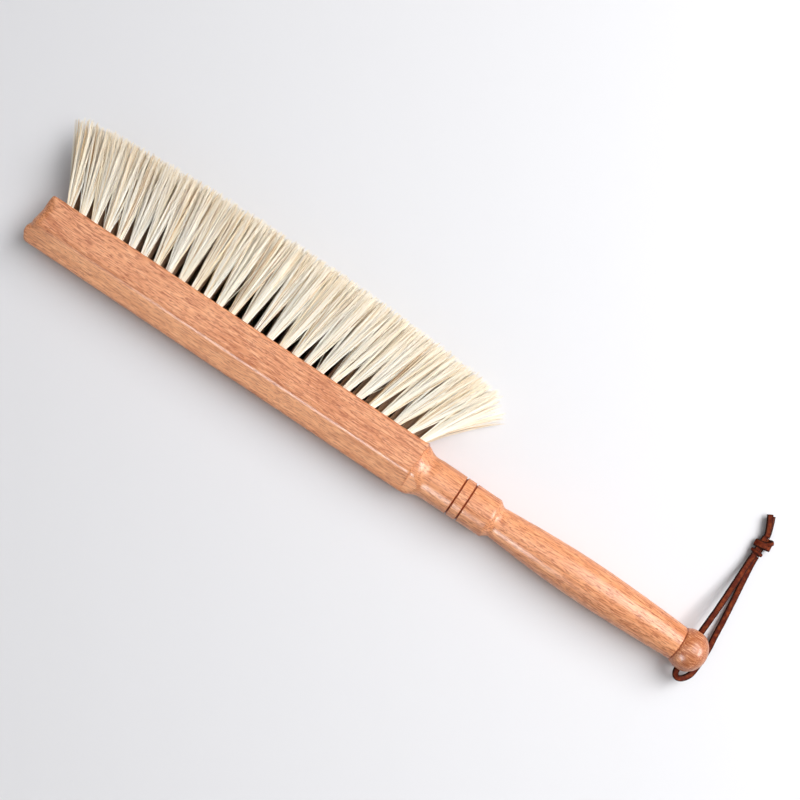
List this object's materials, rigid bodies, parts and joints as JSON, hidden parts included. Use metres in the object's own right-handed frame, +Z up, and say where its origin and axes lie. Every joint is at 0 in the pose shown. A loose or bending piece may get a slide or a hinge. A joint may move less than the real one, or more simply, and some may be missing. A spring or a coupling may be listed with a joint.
{
  "type": "bed brush",
  "caption": "Long-handled wooden bed brush with a straight bristle head, a turned handle with a ball end, and a knotted leather hanging loop.",
  "frame": {"origin": "on the surface that the brush lies on, under the middle of the brush's bounding box without the thong", "axes": "+X along the brush from the free end of the head to the ball at the handle's end, +Y the way the bristles point, +Z up from the surface; the head lies on one of its flat sides"},
  "size_m": [0.4685, 0.1076, 0.03],
  "materials": {
    "lacquered_beech": "clear gloss lacquer",
    "cream_bristle": "natural animal hair",
    "brown_leather": "smooth, slightly worn"
  },
  "bodies": {
    "brush": {"beech_body": "lacquered_beech", "tuft_column_01": "cream_bristle", "tuft_column_02": "cream_bristle", "tuft_column_03": "cream_bristle", "tuft_column_04": "cream_bristle", "tuft_column_05": "cream_bristle", "tuft_column_06": "cream_bristle", "tuft_column_07": "cream_bristle", "tuft_column_08": "cream_bristle", "tuft_column_09": "cream_bristle", "tuft_column_10": "cream_bristle", "tuft_column_11": "cream_bristle", "tuft_column_12": "cream_bristle", "tuft_column_13": "cream_bristle", "tuft_column_14": "cream_bristle", "tuft_column_15": "cream_bristle", "tuft_column_16": "cream_bristle", "tuft_column_17": "cream_bristle", "tuft_column_18": "cream_bristle", "tuft_column_19": "cream_bristle", "tuft_column_20": "cream_bristle", "tuft_column_21": "cream_bristle", "tuft_column_22": "cream_bristle", "tuft_column_23": "cream_bristle", "tuft_column_24": "cream_bristle", "tuft_column_25": "cream_bristle", "tuft_column_26": "cream_bristle", "tuft_column_27": "cream_bristle", "tuft_column_28": "cream_bristle", "tuft_column_29": "cream_bristle"},
    "thong": {"thong_in_bore": "brown_leather", "thong_front_strand": "brown_leather", "thong_back_strand": "brown_leather", "thong_knot": "brown_leather", "thong_upper_tail": "brown_leather", "thong_lower_tail": "brown_leather"}
  },
  "joints": [
    {"name": "thong_swing", "type": "hinge", "parent": "brush", "child": "thong", "pos_m": [0.22288, -0.02629, 0.015], "axis": [0, 1, 0], "range_deg": [-160, 78]}
  ]
}
